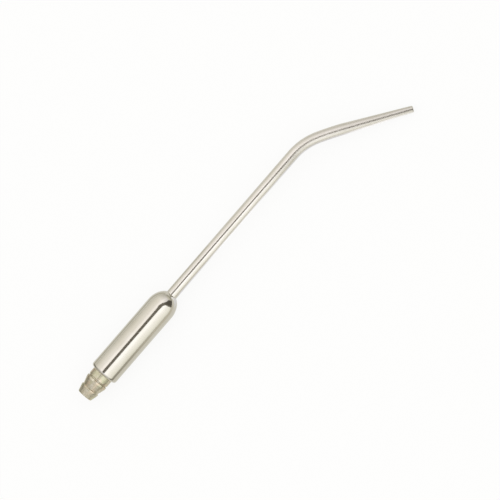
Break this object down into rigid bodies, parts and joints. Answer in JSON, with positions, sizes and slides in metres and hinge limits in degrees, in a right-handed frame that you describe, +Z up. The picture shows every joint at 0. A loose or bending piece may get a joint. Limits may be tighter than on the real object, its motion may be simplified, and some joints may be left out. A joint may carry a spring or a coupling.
{
  "type": "surgical aspirator tip",
  "caption": "Metal surgical suction tip: hollow round barrel with a stepped hose connector behind and a long thin tube in its nose, bent once and tapered to an open mouth.",
  "frame": {"origin": "middle of the instrument's footprint, on the surface that it lies on", "axes": "+X along the barrel's axis, from the hose connector towards the tip; +Z up; the tube bends towards -Y and rests on the rim of its mouth"},
  "size_m": [0.1576, 0.0282, 0.011],
  "materials": {
    "polished_barrel": "bright polished nickel plate",
    "polished_tube": "bright polished nickel plate",
    "turned_connector": "dull nickel plate on turned brass"
  },
  "bodies": {
    "root": {"handle_barrel": "polished_barrel", "suction_tube": "polished_tube", "hose_connector": "turned_connector"}
  },
  "joints": []
}
